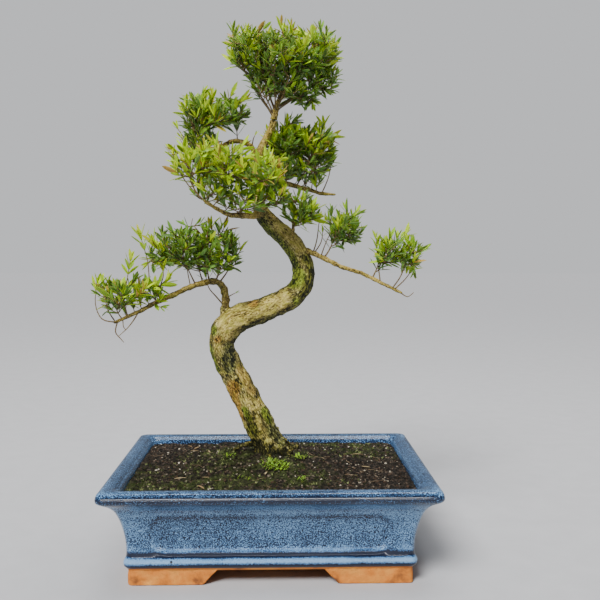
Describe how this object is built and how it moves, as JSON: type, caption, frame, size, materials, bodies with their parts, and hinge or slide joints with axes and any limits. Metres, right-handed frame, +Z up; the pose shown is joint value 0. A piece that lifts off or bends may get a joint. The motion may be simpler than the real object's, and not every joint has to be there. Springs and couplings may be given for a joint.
{
  "type": "brush cherry bonsai",
  "caption": "Informal upright bonsai tree with a twice bent trunk and leafy pads, growing in a rectangular glazed pot on corner feet.",
  "frame": {"origin": "under the middle of the bounding box, on the plane that the pot's feet stand on; the middle of the pot is 10.8 mm along +X from it", "axes": "+Z up, +X to the right as seen from the front, -Y towards the viewer at the front of the pot"},
  "size_m": [0.3909, 0.27, 0.627],
  "materials": {
    "blue_glaze": "gloss",
    "soil": "matte",
    "bark": "matte",
    "foliage": "satin",
    "screen_plastic": "matte"
  },
  "bodies": {
    "root": {"pot": "blue_glaze", "drain_screen_left": "screen_plastic", "drain_screen_right": "screen_plastic", "soil": "soil", "trunk": "bark", "lower_left_branch": "foliage", "lower_right_branch": "foliage", "front_branch": "foliage", "front_tuft": "foliage", "upper_left_branch": "foliage", "upper_right_branch": "foliage", "apex": "foliage"}
  },
  "joints": []
}
